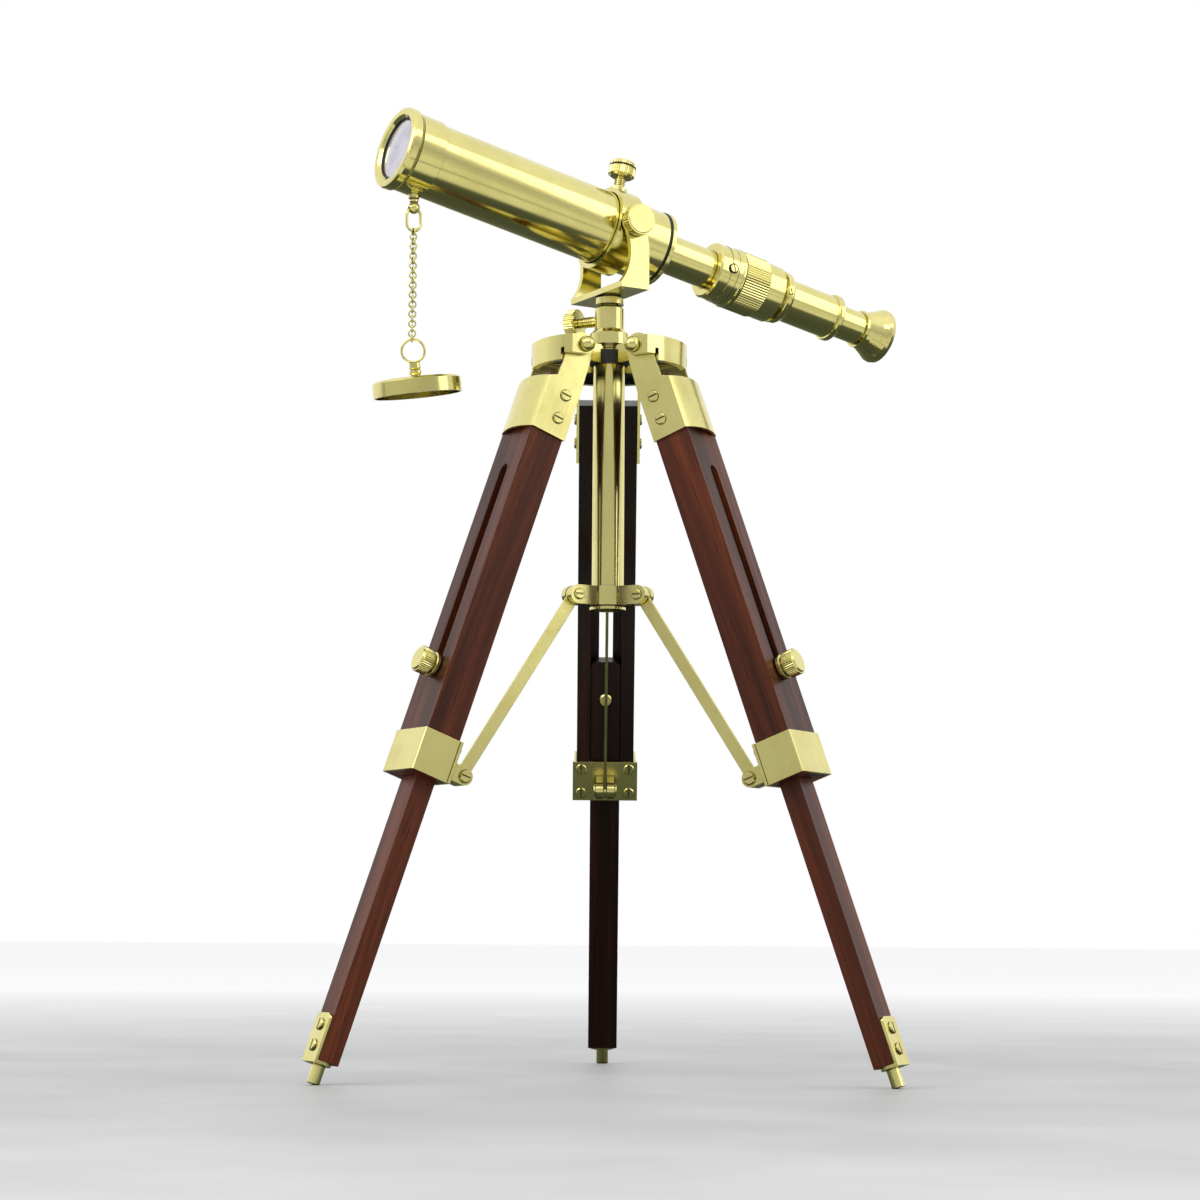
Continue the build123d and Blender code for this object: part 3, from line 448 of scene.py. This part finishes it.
def milled_bead(metal, black):
    """A ring of fine beads in a groove between the objective's collar and its bezel, over painted shade on the
    groove's floor.
    """
    groove = scope_reach("objective_bezel")[0]
    radius = scope_reach("objective_cell")[2]
    beads = 118
    mesh = bmesh.new()
    for i in range(beads):
        angle = 2 * math.pi * i / beads
        centre = around(SCOPE_ORIGIN, SCOPE_AXIS, SCOPE_UP, groove - 0.38 * MM, radius - 0.12 * MM, angle)
        bmesh.ops.create_icosphere(mesh, subdivisions=2, radius=0.44 * MM, matrix=Matrix.Translation(centre))
    finished("bezel_beading", mesh, "tube", metal)
    # Painted shade: a black sheet on the groove's floor, under the beads.
    floor_r = radius - 0.42 * MM
    mesh = bmesh.new()
    lathe(mesh, SCOPE_ORIGIN, SCOPE_AXIS, SCOPE_UP,
          [(groove - 0.95 * MM, floor_r - 0.2 * MM), (groove - 0.95 * MM, floor_r),
           (groove + 0.1 * MM, floor_r), (groove + 0.1 * MM, floor_r - 0.2 * MM)], 128)
    finished("bezel_groove_shade", mesh, "tube", black)


def screw_recess_shade(name, body, along, radius, outer, material, steps=32):
    """Painted shade in the countersink round a retaining screw: a black ring laid on the barrel's curve."""
    mesh = bmesh.new()
    rings = []
    for reach in (0.6 * outer, outer):
        rings.append([mesh.verts.new(around(SCOPE_ORIGIN, SCOPE_AXIS, SCOPE_NEAR,
                                            along + reach * math.cos(2 * math.pi * i / steps), radius,
                                            reach * math.sin(2 * math.pi * i / steps) / radius))
                      for i in range(steps)])
    for i in range(steps):
        k = (i + 1) % steps
        mesh.faces.new((rings[0][i], rings[0][k], rings[1][k], rings[1][i]))
    finished(name, mesh, body, material)


def retaining_screw(name, body, along, radius, head, material):
    """A slotted screw let into the near side of a barrel."""
    normal = SCOPE_NEAR
    place = SCOPE_ORIGIN + SCOPE_AXIS * along + normal * radius
    slot_way = (SCOPE_AXIS * 0.4 + SCOPE_UP).normalized()
    slot_way = (slot_way - normal * slot_way.dot(normal)).normalized()
    mesh = bmesh.new()
    slotted_head(mesh, place, normal, slot_way, head, SCREW_HEAD_HEIGHT)
    finished(name, mesh, body, material, smooth=False)


def turned_line(name, body, at, radius, material):
    """A fine black band where a line is cut round a barrel: painted shade in the cut."""
    half = 0.11 * MM
    mesh = bmesh.new()
    lathe(mesh, SCOPE_ORIGIN, SCOPE_AXIS, SCOPE_UP,
          [(at - half, radius - 0.15 * MM), (at - half, radius + 0.02 * MM),
           (at + half, radius + 0.02 * MM), (at + half, radius - 0.15 * MM)])
    finished(name, mesh, body, material)


def screw_threads(material):
    """Threads on the two shanks that show: the ring's clamp screw and the azimuth lock."""
    shank = 2.2 * MM
    pitch = 1.0 * MM
    mesh = bmesh.new()
    origin = Vector(JOINTS["ring_screw_turn"]["pos_m"])
    boss = max((v.co - origin).dot(SCOPE_UP) for v in NODES["clamp_ring"].data.vertices)
    thread(mesh, origin, SCOPE_UP, SCOPE_AXIS, boss + 0.2 * MM, boss + 6.2 * MM, shank, pitch)
    finished("clamp_screw_thread", mesh, "ring_screw", material, smooth=False)
    mesh = bmesh.new()
    lock = JOINTS["azimuth_lock_turn"]
    axis = Vector(lock["axis"])
    origin = Vector((*JOINTS["azimuth_turn"]["pos_m"][:2], lock["pos_m"][2]))
    thread(mesh, origin, axis, UP, 7.7 * MM, 16.8 * MM, shank, pitch)
    finished("azimuth_lock_thread", mesh, "azimuth_lock", material, smooth=False)


def knob_groove_shade(material):
    """Painted shade: a black band in the groove turned round the middle of the ring's clamp knob."""
    origin = Vector(JOINTS["ring_screw_turn"]["pos_m"])
    heights = [(v.co - origin).dot(SCOPE_UP) for v in NODES["ring_clamp_screw"].data.vertices]
    radius = max((v.co - origin - SCOPE_UP * h).length
                 for v, h in zip(NODES["ring_clamp_screw"].data.vertices, heights))
    at = max(heights) - 2.6 * MM
    outline = [(at - 0.4 * MM, radius - 0.8 * MM), (at - 0.4 * MM, radius + 0.03 * MM),
               (at + 0.4 * MM, radius + 0.03 * MM), (at + 0.4 * MM, radius - 0.8 * MM)]
    mesh = bmesh.new()
    lathe(mesh, origin, SCOPE_UP, SCOPE_AXIS, outline, 80)
    finished("clamp_knob_groove_shade", mesh, "ring_screw", material)


def end_cap_shadows(material):
    """Painted shadow: black sheets in the groove at the rear of the tube and on the face round the draw tube."""
    rear = scope_reach("main_tube")[0]
    radius = scope_reach("main_tube")[2]
    face, _, flange = scope_reach("tube_end_cap")
    mesh = bmesh.new()
    lathe(mesh, SCOPE_ORIGIN, SCOPE_AXIS, SCOPE_UP,
          [(rear - 0.75 * MM, radius - 0.7 * MM), (rear - 0.75 * MM, radius + 0.2 * MM),
           (rear + 0.55 * MM, radius + 0.2 * MM), (rear + 0.55 * MM, radius - 0.02 * MM),
           (rear - 0.05 * MM, radius - 0.02 * MM), (rear - 0.05 * MM, radius - 0.7 * MM)], 128)
    draw = scope_reach("draw_tube")[2]
    lathe(mesh, SCOPE_ORIGIN, SCOPE_AXIS, SCOPE_UP,
          [(face + 0.25 * MM, draw + 0.4 * MM), (face + 0.05 * MM, flange - 3.0 * MM),
           (face + 1.15 * MM, flange - 3.0 * MM), (face + 1.15 * MM, draw + 0.4 * MM)], 128)
    finished("end_cap_shadows", mesh, "tube", material)


def outward(leg, middle):
    """The level direction from the hub's middle to a leg."""
    out = leg_side(leg).cross(UP).normalized()
    pivot = Vector(JOINTS[f"leg_{leg}_fold"]["pos_m"]) - middle
    return out if out.dot(pivot) >= 0 else -out


def arm_shade_sheets(mesh, leg, middle, rim_low, arm_low):
    """Open sheets of painted shade under one arm of the hub and up the inside of its rim."""
    side = leg_side(leg)
    out = outward(leg, middle)
    sweep = math.asin(SHADE_SHEET_WALL_HALF / SHADE_SHEET_WALL_R)
    angles = [-sweep + 2 * sweep * i / SHADE_SHEET_STEPS for i in range(SHADE_SHEET_STEPS + 1)]
    arc = [out * (SHADE_SHEET_WALL_R * math.cos(a)) + side * (SHADE_SHEET_WALL_R * math.sin(a)) for a in angles]
    neck = middle + out * SHADE_SHEET_NECK_R
    under = [neck - side * SHADE_SHEET_NECK_HALF]
    under += [middle + v for v in arc]
    under += [neck + side * SHADE_SHEET_NECK_HALF]
    mesh.faces.new([mesh.verts.new(v + UP * (arm_low - SHADE_SHEET_SKIN)) for v in under])
    foot = rim_low + 0.3 * MM
    for first, second in zip(arc, arc[1:]):
        corners = ((first, arm_low), (second, arm_low), (second, foot), (first, foot))
        mesh.faces.new([mesh.verts.new(middle + v + UP * z) for v, z in corners])


def hub_shade_sheets(material):
    """Painted shade inside the hub: black sheets round its collar's neck, under its arms and inside its rims."""
    rim_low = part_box("hub")[0][2]
    arm_low = rim_low + SHADE_SHEET_ARM_UP
    neck_top = arm_low + SHADE_SHEET_NECK_TALL
    middle = Vector((*JOINTS["azimuth_turn"]["pos_m"][:2], 0))
    mesh = bmesh.new()
    lathe(mesh, middle, UP, Vector((1, 0, 0)),
          [(arm_low - SHADE_SHEET_SKIN, SHADE_SHEET_NECK_R - 1.5 * MM), (arm_low - SHADE_SHEET_SKIN, SHADE_SHEET_NECK_R),
           (neck_top, SHADE_SHEET_NECK_R), (neck_top, SHADE_SHEET_NECK_R - 0.5 * MM)])
    for leg in LEGS:
        arm_shade_sheets(mesh, leg, middle, rim_low, arm_low)
    finished("hub_shade_sheets", mesh, "stand", material, smooth=False)


# ---- stage ----
def floor():
    mesh = bmesh.new()
    bmesh.ops.create_grid(mesh, x_segments=2, y_segments=2, size=12)
    data = bpy.data.meshes.new("floor")
    mesh.to_mesh(data)
    mesh.free()
    data.materials.append(tabletop())
    plane = bpy.data.objects.new("floor", data)
    bpy.context.scene.collection.objects.link(plane)


def panel(name, place, aim, size, power, colour=(1, 1, 1)):
    """A soft rectangular lamp that faces a point."""
    lamp = bpy.data.lights.new(name, "AREA")
    lamp.shape = "RECTANGLE"
    lamp.size, lamp.size_y = size
    lamp.energy = power
    lamp.color = colour
    holder = bpy.data.objects.new(name, lamp)
    holder.location = place
    holder.rotation_euler = (Vector(aim) - Vector(place)).to_track_quat("-Z", "Y").to_euler()
    bpy.context.scene.collection.objects.link(holder)


def studio():
    """White walls and ceiling, with a darker room behind the camera for the brass to reflect."""
    world = bpy.data.worlds.new("studio")
    bpy.context.scene.world = world
    world.use_nodes = True
    nodes, links = world.node_tree.nodes, world.node_tree.links
    direction = nodes.new("ShaderNodeTexCoord").outputs["Generated"]
    split = nodes.new("ShaderNodeSeparateXYZ")
    links.new(direction, split.inputs["Vector"])
    height = nodes.new("ShaderNodeMapRange")
    height.inputs["From Min"].default_value = -1
    links.new(split.outputs["Z"], height.inputs["Value"])
    walls = nodes.new("ShaderNodeValToRGB")
    stops = ((0.0, 0.30), (0.50, 0.50), (0.60, 0.60), (0.70, 0.68), (0.76, 0.70), (0.80, 1.00), (0.90, 1.10),
             (1.0, 1.20))
    while len(walls.color_ramp.elements) < len(stops):
        walls.color_ramp.elements.new(0.5)
    for element, (position, value) in zip(walls.color_ramp.elements, stops):
        element.position = position
        element.color = (value, value, value * 0.98, 1)
    links.new(height.outputs["Result"], walls.inputs["Fac"])
    back = nodes.new("ShaderNodeMapRange")
    back.inputs["From Min"].default_value = -0.35
    back.inputs["From Max"].default_value = 0.35
    links.new(split.outputs["Y"], back.inputs["Value"])
    sides = nodes.new("ShaderNodeMix")
    sides.data_type = "RGBA"
    links.new(back.outputs["Result"], sides.inputs[0])
    links.new(walls.outputs["Color"], sides.inputs[6])
    sides.inputs[7].default_value = (1.0, 1.0, 1.0, 1)
    seen = nodes.new("ShaderNodeLightPath")
    show = nodes.new("ShaderNodeMix")
    show.data_type = "RGBA"
    links.new(seen.outputs["Is Camera Ray"], show.inputs[0])
    links.new(sides.outputs[2], show.inputs[6])
    show.inputs[7].default_value = (1.0, 1.0, 1.0, 1)
    links.new(show.outputs[2], nodes["Background"].inputs["Color"])
    nodes["Background"].inputs["Strength"].default_value = 1.0
    panel("key", (-1.2, -0.8, 1.4), (0, 0, 0.25), (1.2, 1.0), 9)
    panel("fill", (1.4, -0.5, 0.9), (0, 0, 0.25), (0.8, 1.2), 4)
    panel("front", (0.0, -1.7, 1.7), (0, 0, 0.25), (1.3, 0.6), 4)


def camera():
    pitch, yaw, roll = (math.radians(v) for v in (CAMERA_PITCH, CAMERA_YAW, CAMERA_ROLL))
    ahead = Vector((math.sin(yaw) * math.cos(pitch), math.cos(yaw) * math.cos(pitch), math.sin(pitch)))
    level = Vector((math.cos(yaw), -math.sin(yaw), 0))
    above = level.cross(ahead)
    right = level * math.cos(roll) + above * math.sin(roll)
    top = above * math.cos(roll) - level * math.sin(roll)
    data = bpy.data.cameras.new("camera")
    data.lens = CAMERA_LENS
    data.sensor_width = CAMERA_SENSOR
    holder = bpy.data.objects.new("camera", data)
    turn = Matrix((right, top, -ahead)).transposed().to_4x4()
    holder.matrix_world = Matrix.Translation(CAMERA_PLACE) @ turn
    bpy.context.scene.collection.objects.link(holder)
    bpy.context.scene.camera = holder
    bpy.context.scene.view_settings.view_transform = "Standard"


# ---- what each node is made of ----
def leg_of(node):
    return next((leg for leg in LEGS if node.endswith("_" + leg)), None)


def leg_axis(leg):
    return Vector(JOINTS[f"lower_leg_{leg}_slide"]["axis"])


def leg_side(leg):
    return Vector(JOINTS[f"leg_{leg}_fold"]["axis"])


def paint_nodes():
    scope = brass("scope_brass", SCOPE_AXIS, SCOPE_UP, (90, 90, 2400), 0.09)
    fittings = {leg: brass("fitting_brass_" + leg, leg_axis(leg), leg_side(leg), (900, 900, 60), 0.16, 0.5)
                for leg in LEGS}
    stand = brass("stand_brass", UP, Vector((1, 0, 0)), (70, 70, 2200), 0.12)
    chain = brass("chain_brass", UP, Vector((1, 0, 0)), (900, 900, 900), 0.2, 0.7)
    tones = {leg: (WOOD_DARK, WOOD_MID, WOOD_LIGHT) for leg in LEGS}
    # Painted shade: the rear leg's wood is one step darker throughout, for the shadow it stands in.
    tones["rear"] = (WOOD_SHADE_DEEP, WOOD_DARK, WOOD_MID)
    woods = {leg: wood("leg_wood_" + leg, leg_axis(leg), leg_side(leg), tones[leg]) for leg in LEGS}
    glass = lens_glass()
    by_slot = {"telescope_brass": scope, "brass_chain": chain, "lens_glass": glass}
    for node, item in NODES.items():
        leg = leg_of(node)
        slot = SLOT_OF[node]
        if slot == "leg_wood":
            material = woods[leg]
        elif slot in by_slot:
            material = by_slot[slot]
        else:
            material = fittings[leg] if leg else stand
        item.data.materials.clear()
        item.data.materials.append(material)
    return scope, stand, glass


def add_details(scope, stand, glass):
    # This black is lacquer on the lens retainer and the baffle, and painted shade on the other dark pieces.
    black = blackened()
    front_element(glass)
    lens_retainer(black)
    tube_baffle(black)
    milled_bead(scope, black)
    barrel_front = scope_reach("focus_barrel")[1]
    screw_at = barrel_front - BARREL_SCREW_BACK
    nose_at = scope_reach("eyepiece_tube")[0] + NOSE_SCREW_AHEAD
    # Painted shade: black rings in the countersinks round the two retaining screws.
    screw_recess_shade("barrel_recess_shade", "draw", screw_at, BARREL_RECESS_SEAT, BARREL_RECESS_OUTER, black)
    retaining_screw("barrel_screw", "draw", screw_at, BARREL_SCREW_SEAT, BARREL_SCREW_HEAD, scope)
    screw_recess_shade("nose_recess_shade", "eyepiece", nose_at, NOSE_RECESS_SEAT, NOSE_RECESS_OUTER, black)
    retaining_screw("nose_screw", "eyepiece", nose_at, NOSE_SCREW_SEAT, NOSE_SCREW_HEAD, scope)
    turned_line("barrel_line_shade", "draw", barrel_front - BARREL_LINE_BACK, BARREL_LINE_R, black)
    screw_threads(stand)
    knob_groove_shade(black)
    end_cap_shadows(black)
    hub_shade_sheets(black)


add_details(*paint_nodes())
floor()
studio()
camera()
